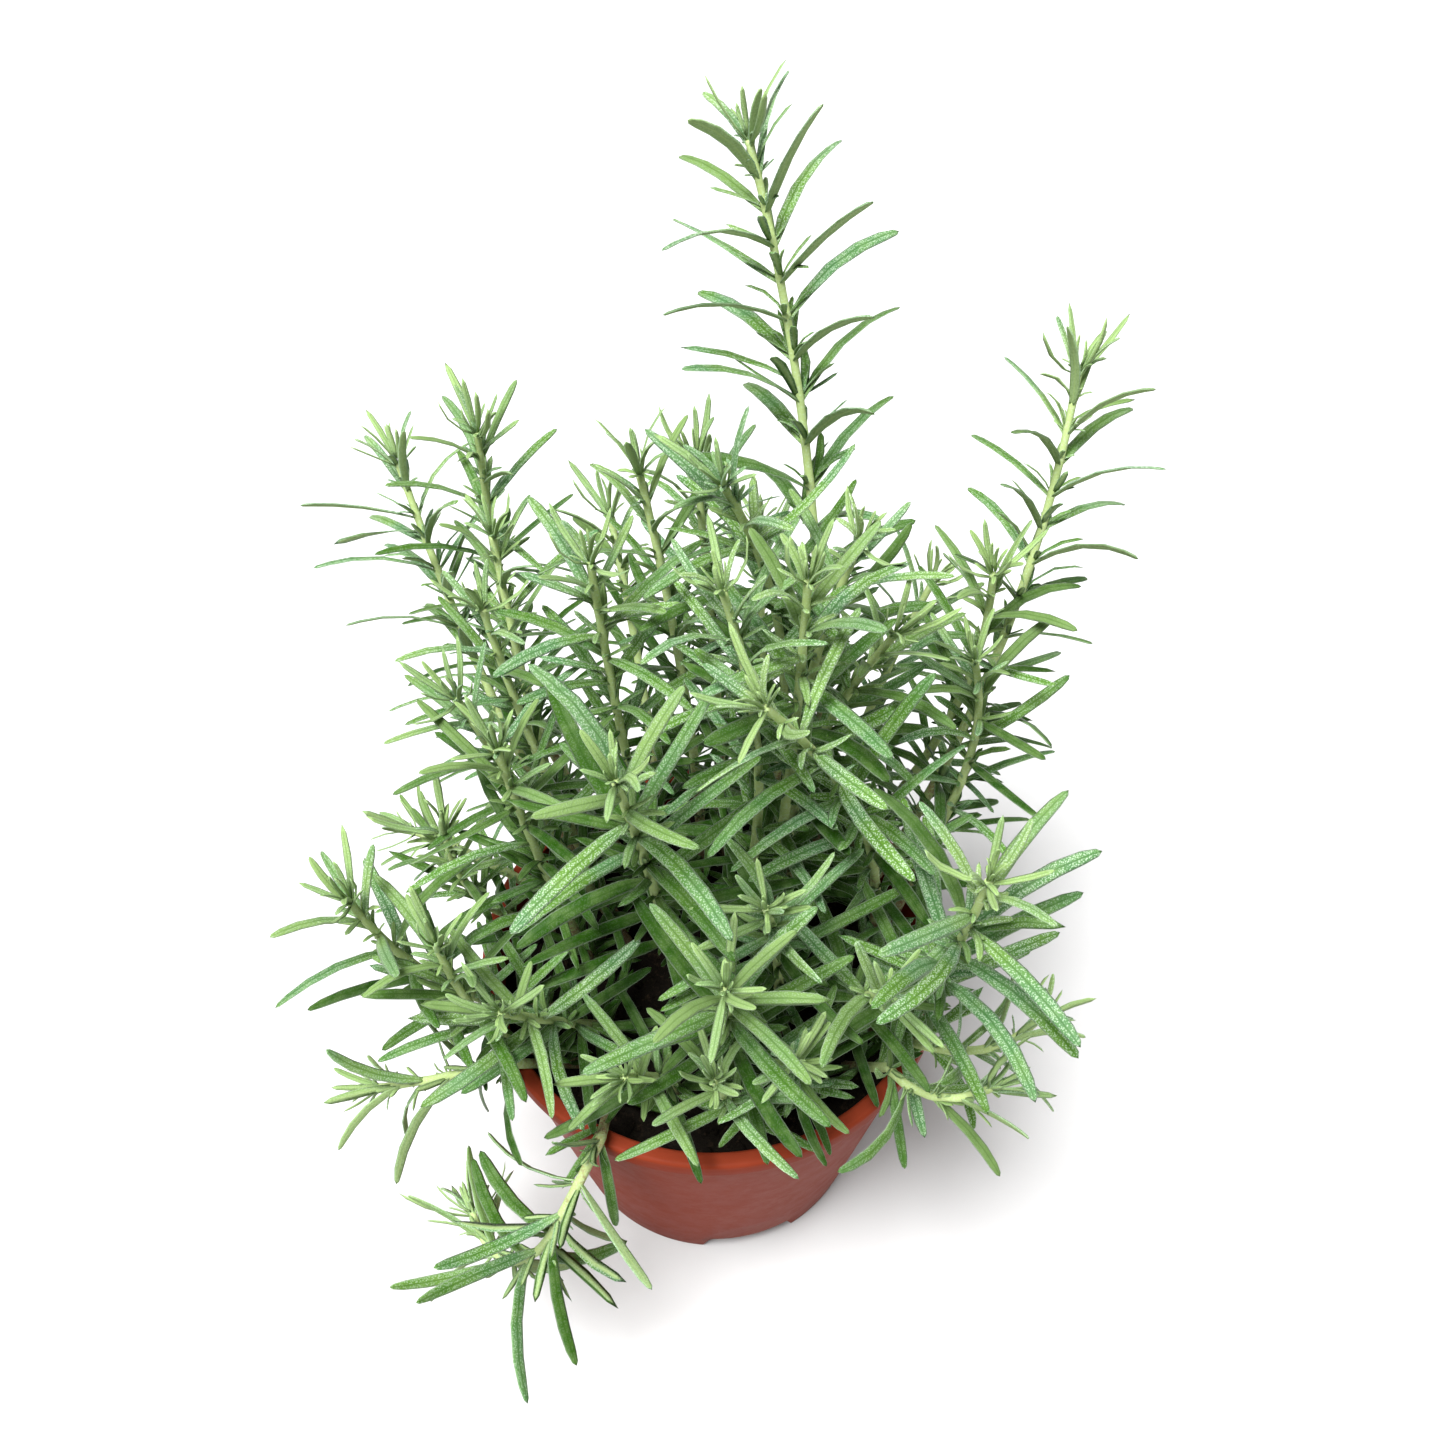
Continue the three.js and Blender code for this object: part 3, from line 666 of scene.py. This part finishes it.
def section_at(blade, chord, along, half_thickness):
    """Where a leaf's section stands at a share of its length, and its two half-widths."""
    hump = 4 * along * (1 - along)
    slope = 4 * (1 - 2 * along)
    bend = blade.normal * blade.bow + blade.side * blade.sway
    run = (chord + bend * slope).normalized()
    side = Quaternion(run, blade.twist * along) @ (blade.side - run * blade.side.dot(run)).normalized()
    middle = blade.root + chord * along + bend * hump
    return middle, side * blade.half_width, side.cross(run) * half_thickness


def frame_matrix(place, run, across, radius):
    """Carries a unit circle in XY to a section of the stem."""
    across = (across - run * across.dot(run)).normalized()
    other = run.cross(across)
    turn = Matrix((across * radius, other * radius, run * radius)).transposed().to_4x4()
    return Matrix.Translation(place) @ turn


def stem_mesh(shoot, layout):
    """The stem: a round tube, a little thicker where leaves stand, with a leaf mesh's layers."""
    bm = bmesh.new()
    bm.from_mesh(layout)
    bmesh.ops.delete(bm, geom=bm.verts[:], context="VERTS")
    age = bm.verts.layers.float["age"]
    stations = []
    total = shoot.run[-1]
    rings = list(zip(shoot.centres, shoot.radii, shoot.run))
    for number, (place, radius, run) in enumerate(rings):
        knot = 1.0 if number % 2 else 0.94
        stations.append((place, radius * 0.92 * knot, run))
        if number + 1 < len(rings) and rings[number + 1][2] - run > 3 * MM:
            place_on, radius_on, run_on = rings[number + 1]
            for share in (0.3, 0.7):
                slim = 0.84 * (radius + (radius_on - radius) * share)
                stations.append((place.lerp(place_on, share), slim, run + (run_on - run) * share))
    across = Vector((1, 0, 0))
    matrices = []
    for number, (place, radius, _) in enumerate(stations):
        low = stations[max(number - 1, 0)][0]
        high = stations[min(number + 1, len(stations) - 1)][0]
        run = (high - low).normalized()
        across = (across - run * across.dot(run)).normalized()
        matrices.append(frame_matrix(place, run, across, radius))
    ring = bmesh.ops.create_circle(bm, segments=10, radius=1, cap_ends=True, matrix=matrices[0])["verts"]
    edges = list({edge for vert in ring for edge in vert.link_edges})
    for vert in ring:
        vert[age] = 1.0
    for number, (old, new) in enumerate(zip(matrices, matrices[1:])):
        grown = bmesh.ops.extrude_edge_only(bm, edges=edges)["geom"]
        ring = {item for item in grown if isinstance(item, bmesh.types.BMVert)}
        edges = [item for item in grown if isinstance(item, bmesh.types.BMEdge)]
        edges = [edge for edge in edges if all(vert in ring for vert in edge.verts)]
        bmesh.ops.transform(bm, matrix=new @ old.inverted(), verts=list(ring))
        for vert in ring:
            vert[age] = 1.0 - stations[number + 1][2] / total
    bmesh.ops.contextual_create(bm, geom=edges)
    bmesh.ops.recalc_face_normals(bm, faces=bm.faces)
    return as_mesh(bm, "stem")


def jitter(vector, chance, amount):
    return (vector + Vector([chance.uniform(-amount, amount) for _ in range(3)])).normalized()


def facing(root, way, size, bow, width, age, towards, across):
    """A leaf from root along way whose upper side looks towards a direction."""
    side = across if across.cross(way).dot(towards) > 0 else -across
    return Blade(root, root + way * size, side, size * bow, width, age)


def axil_leaves(leaf, age, reach, chance):
    """The tuft of small leaves between a main leaf and the stem."""
    out, along = leaf["out"], leaf["along"]
    side = out.cross(along).normalized()
    aim = (along * chance.uniform(0.7, 1.1) + out * chance.uniform(0.6, 1.0)).normalized()
    root = leaf["root"] + along * 1.0 * MM - out * 0.2 * MM
    splay = chance.uniform(0.45, 0.9)
    tuft = []
    for sign in (-1, 1):
        way = jitter(aim + side * sign * splay, chance, 0.18)
        tuft.append((way, reach * chance.uniform(0.5, 1.35)))
    if chance.random() < 0.5:
        for sign in (-1, 1):
            way = jitter(aim + (along - out) * sign * 0.35, chance, 0.15)
            tuft.append((way, reach * chance.uniform(0.4, 0.8)))
    blades = []
    for way, size in tuft:
        flat = along.cross(way)
        flat = side if flat.length < 0.2 else flat
        width = size * 0.055 + 0.32 * MM
        blades.append(facing(root, way, size, chance.uniform(-0.02, 0.18), width, age, along, flat))
    return blades


# How many of the places for a lesser leaf have one.
FILLER_SHARE = 0.16


def between_leaves(shoot, chance):
    """Lesser pairs of leaves that stand between the main pairs, an eighth turn from them."""
    nodes = {}
    for leaf in shoot.leaves:
        nodes.setdefault(leaf["level"], leaf)
    levels = sorted(nodes)
    blades = []
    for low, high in zip(levels, levels[1:]):
        below, above = nodes[low], nodes[high]
        if shoot.run[high] - shoot.run[low + 1] < 3.2 * MM:
            continue
        along = (below["along"] + above["along"]).normalized()
        place = (shoot.centres[low + 1] + shoot.centres[high]) / 2
        chord = below["tip"] - below["root"]
        rise = chord.normalized().dot(below["along"])
        for sign in (-1, 1):
            if chance.random() > FILLER_SHARE:
                continue
            out = jitter((below["out"] + above["out"]) * sign, chance, 0.2)
            out = (out - along * out.dot(along)).normalized()
            slope = min(0.95, max(0.0, rise + chance.uniform(-0.2, 0.25)))
            way = along * slope + out * math.sqrt(1 - slope * slope)
            size = chord.length * chance.uniform(0.55, 0.95)
            age = min(1.0, 0.1 + (shoot.run[-1] - shoot.run[low]) / (80 * MM))
            width = size * 0.05 + 0.35 * MM
            root = place + out * 0.6 * MM
            bow = chance.uniform(0, 0.12)
            blades.append(facing(root, way, size, bow, width, age, along, along.cross(out)))
    return blades


def foot_leaves(shoot, chance):
    """A few old leaves on the bare foot of a stem."""
    blades = []
    for low, high in zip(range(1, len(shoot.run)), range(2, len(shoot.run))):
        stretch = shoot.centres[high] - shoot.centres[low]
        if stretch.length < 9 * MM:
            continue
        along = stretch.normalized()
        steps = int(stretch.length / (5 * MM))
        for step in range(1, steps):
            for _ in range(3):
                out = jitter(along.orthogonal(), chance, 2.0)
                out = (out - along * out.dot(along)).normalized()
                root = shoot.centres[low] + stretch * (step / steps) + out * 0.9 * MM
                way = jitter(out + along * chance.uniform(0.0, 0.7), chance, 0.1)
                size = chance.uniform(9, 23) * MM
                width = size * 0.045 + 0.4 * MM
                bow = chance.uniform(0, 0.12)
                blades.append(facing(root, way, size, bow, width, 1.0, along, along.cross(out)))
    return blades


# The pairs at a shoot's tip, from the outermost: degrees from the stem, and length against the solid's bud.
TIP_OPENINGS = (40, 27, 14, 5)
TIP_SIZES = (1.5, 1.3, 1.0, 0.7)


def tip_leaves(shoot, chance):
    """The slim young leaves that close a stem, a quarter turn from pair to pair."""
    end = shoot.centres[-1]
    axis = (shoot.bud_tip - end).normalized()
    reach = (shoot.bud_tip - end).length
    first = axis.orthogonal().normalized()
    start = chance.uniform(0, math.pi)
    blades = []
    for pair, (opening, share) in enumerate(zip(TIP_OPENINGS, TIP_SIZES)):
        for half in (0, 1):
            angle = math.radians(opening + chance.uniform(-8, 18))
            away = Quaternion(axis, start + (pair / 2 + half) * math.pi) @ first
            root = end + axis * (reach * 0.07 * pair - 0.8 * MM) + away * 0.5 * MM
            way = (axis * math.cos(angle) + away * math.sin(angle)).normalized()
            size = reach * share * chance.uniform(0.6, 1.35)
            width = size * 0.04 + 0.28 * MM
            bow = chance.uniform(-0.15, 0.1)
            blades.append(facing(root, way, size, bow, width, 0.0, axis, away.cross(axis)))
    return blades


class Surroundings:
    """The table, the soil and the pot's wall, which small leaves keep clear of."""

    table_gap = 1.5 * MM
    rim_gap = 1 * MM
    wall_gap = 1.5 * MM
    soil_gap = 0.8 * MM
    wall_inside = 52 * MM

    def __init__(self):
        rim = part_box("pot")[1]
        self.rim_radius, self.rim_height = rim.x, rim.z
        self.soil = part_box("soil")[1].z

    def clear(self, blade):
        """Tests three places on a leaf, so a leaf can still graze what lies between them."""
        return all(self.free(blade.root.lerp(blade.tip, share)) for share in (0.4, 0.7, 1.0))

    def free(self, point):
        reach = math.hypot(point.x, point.y)
        if point.z < self.table_gap:
            return False
        by_wall = self.wall_inside < reach < self.rim_radius + self.wall_gap
        if point.z < self.rim_height + self.rim_gap and by_wall:
            return False
        return reach > self.rim_radius or point.z > self.soil + self.soil_gap


# Tall shoots carry broader leaves, and crowded ones narrower leaves.
BREADTHS = {
    "leader": 1.25,
    "right_tall": 1.12,
    "centre": 0.86,
    "left_back": 0.86,
    "left_mid": 0.86,
    "left_thin": 0.8,
    "left_upper": 0.86,
    "back": 0.9,
}


def breadth(node):
    """How broad a shoot's leaves are, by the longest beginning of its name that is listed."""
    name = node.removeprefix("stem_")
    known = [start for start in BREADTHS if name.startswith(start)]
    return BREADTHS[max(known, key=len)] if known else 1.0


# Painted light and shade: leaves higher or farther out than this are painted paler, as if lit, and those
# within both are painted darker, as if shaded inside the bush.
LIT_HEIGHT = 0.16
LIT_REACH = 0.055
INNER_DARKENING = 2.5


def grow_shoot(node, look, meshes, materials, surroundings):
    shoot = Shoot(node)
    chance = random.Random(node + str(look.seed))
    total = shoot.run[-1]
    mood = chance.uniform(0.2, 0.7)
    wide = breadth(node) * look.leaf_width
    grown, tufts = [], []
    for leaf in shoot.leaves:
        below_tip = total - shoot.run[leaf["level"]]
        age = min(1.0, 0.12 + below_tip / (70 * MM))
        root = leaf["root"] - leaf["out"] * 0.3 * MM
        blade = Blade(root, leaf["tip"], leaf["side"], leaf["bow"], leaf["half_width"] * wide, age)
        grown.append(blade)
        reach = min(13.5 * MM, 5.5 * MM + below_tip * 0.15) * chance.uniform(0.55, 1.2)
        tufts += axil_leaves(leaf, min(0.6, age * 0.6), reach, chance)
    lesser = between_leaves(shoot, chance) + foot_leaves(shoot, chance)
    for blade in grown + lesser + tufts:
        # Each leaf's tone is a random one plus painted light and shade: paler high up and outside the bush,
        # darker within it.
        reach = math.hypot(blade.root.x, blade.root.y)
        lit = max((blade.root.z - LIT_HEIGHT) * 6, (reach - LIT_REACH) * 8)
        lit *= 1 if lit > 0 else INNER_DARKENING
        blade.tone = min(1.4, max(0.0, chance.gauss(mood, 0.28) + lit))
        blade.twist = chance.gauss(0, 0.35)
        blade.sway = (blade.tip - blade.root).length * chance.gauss(0, 0.04)
    small = [blade for blade in lesser + tufts if surroundings.clear(blade)] + tip_leaves(shoot, chance)
    bm = bmesh.new()
    add_blades(bm, meshes["main"], grown, look.leaf_thickness / 2)
    add_blades(bm, meshes["small"], small, look.leaf_thickness * 0.36)
    bm.from_mesh(stem_mesh(shoot, meshes["main"]))
    finish_piece(bm, node.replace("stem_", "shoot_"), materials, node)


class ROSEMARY_OT_add_shoots(bpy.types.Operator):
    """Add every leafy shoot: stem, main leaves, tufts in the leaf joints and closed tips"""

    bl_idname = "rosemary.add_shoots"
    bl_label = "Add Shoots"
    bl_options = {"REGISTER", "UNDO"}

    def execute(self, context):
        look = context.scene.rosemary_shoots
        meshes = {
            "main": leaf_mesh("main_leaf", LEAF_SECTION, LEAF_UNDERSIDE, LEAF_OUTLINE),
            "small": leaf_mesh("small_leaf", SMALL_SECTION, SMALL_UNDERSIDE, SMALL_OUTLINE),
        }
        materials = [stem_material(look), leaf_material(look)]
        surroundings = Surroundings()
        for node in SHOOT_NODES:
            grow_shoot(node, look, meshes, materials, surroundings)
        return {"FINISHED"}


# ---- Stage

KEY_PLACE = (-0.32, -0.3, 1.18)
BACK_PLACE = (0.7, 0.8, 0.8)
BACK_SHARE = 0.12


def distant_light(name, place, strength, spread):
    """A light that shines from a place far off towards the plant."""
    light = bpy.data.lights.new(name, "SUN")
    light.energy = strength
    light.angle = spread
    lamp = bpy.data.objects.new(name, light)
    lamp.location = place
    lamp.rotation_euler = (-Vector(place)).to_track_quat("-Z", "Y").to_euler()
    bpy.context.scene.collection.objects.link(lamp)


class ROSEMARY_OT_add_stage(bpy.types.Operator):
    """Add the pale floor, the soft light and the camera"""

    bl_idname = "rosemary.add_stage"
    bl_label = "Add Stage"
    bl_options = {"REGISTER", "UNDO"}

    def execute(self, context):
        scene = context.scene
        stage = scene.rosemary_stage
        bm = bmesh.new()
        bmesh.ops.create_grid(bm, x_segments=1, y_segments=1, size=stage.floor_size / 2)
        mesh = as_mesh(bm, "floor")
        floor = bpy.data.objects.new("floor", mesh)
        scene.collection.objects.link(floor)
        mesh.materials.append(Nodes("floor_card").surface(Base_Color=tuple(stage.floor), Roughness=0.9))

        world = bpy.data.worlds.new("studio_sky")
        world.use_nodes = True
        sky = world.node_tree.nodes["Background"]
        sky.inputs["Color"].default_value = (1, 1, 1, 1)
        # The eye sees a white backdrop, which lights the plant no more than the sky does.
        seen = world.node_tree.nodes.new("ShaderNodeLightPath").outputs["Is Camera Ray"]
        glow = world.node_tree.nodes.new("ShaderNodeMath")
        glow.operation = "MAXIMUM"
        glow.inputs[1].default_value = stage.sky_strength
        world.node_tree.links.new(seen, glow.inputs[0])
        world.node_tree.links.new(glow.outputs[0], sky.inputs["Strength"])
        scene.world = world
        distant_light("key_light", KEY_PLACE, stage.key_strength, stage.key_spread)
        distant_light("back_light", BACK_PLACE, stage.key_strength * BACK_SHARE, stage.key_spread)

        camera = bpy.data.cameras.new("camera")
        camera.sensor_width = 36
        camera.lens = stage.lens
        camera.clip_start = 0.01
        viewer = bpy.data.objects.new("camera", camera)
        viewer.location = stage.camera_place
        viewer.rotation_euler = (math.pi / 2 - stage.camera_pitch, 0, 0)
        scene.collection.objects.link(viewer)
        scene.camera = viewer
        scene.view_settings.view_transform = "Standard"
        return {"FINISHED"}


# ---- Panel and registration

STEPS = (ROSEMARY_OT_add_pot, ROSEMARY_OT_add_soil, ROSEMARY_OT_add_shoots, ROSEMARY_OT_add_stage)


class ROSEMARY_PT_panel(bpy.types.Panel):
    """Lists the steps that build the potted plant"""

    bl_idname = "ROSEMARY_PT_panel"
    bl_label = "Potted Rosemary"
    bl_space_type = "VIEW_3D"
    bl_region_type = "UI"
    bl_category = "Rosemary"

    def draw(self, context):
        for step in STEPS:
            self.layout.operator(step.bl_idname)


SETTINGS = {
    "rosemary_pot": PotSettings,
    "rosemary_soil": SoilSettings,
    "rosemary_shoots": ShootSettings,
    "rosemary_stage": StageSettings,
}


def register():
    for settings in SETTINGS.values():
        bpy.utils.register_class(settings)
    for step in (*STEPS, ROSEMARY_PT_panel):
        bpy.utils.register_class(step)
    for name, settings in SETTINGS.items():
        setattr(bpy.types.Scene, name, PointerProperty(type=settings))


def unregister():
    for name in SETTINGS:
        delattr(bpy.types.Scene, name)
    for step in (ROSEMARY_PT_panel, *reversed(STEPS)):
        bpy.utils.unregister_class(step)
    for settings in SETTINGS.values():
        bpy.utils.unregister_class(settings)


def main():
    register()
    bpy.ops.rosemary.add_stage()
    bpy.ops.rosemary.add_pot()
    bpy.ops.rosemary.add_soil()
    bpy.ops.rosemary.add_shoots()


if __name__ == "__main__":
    main()
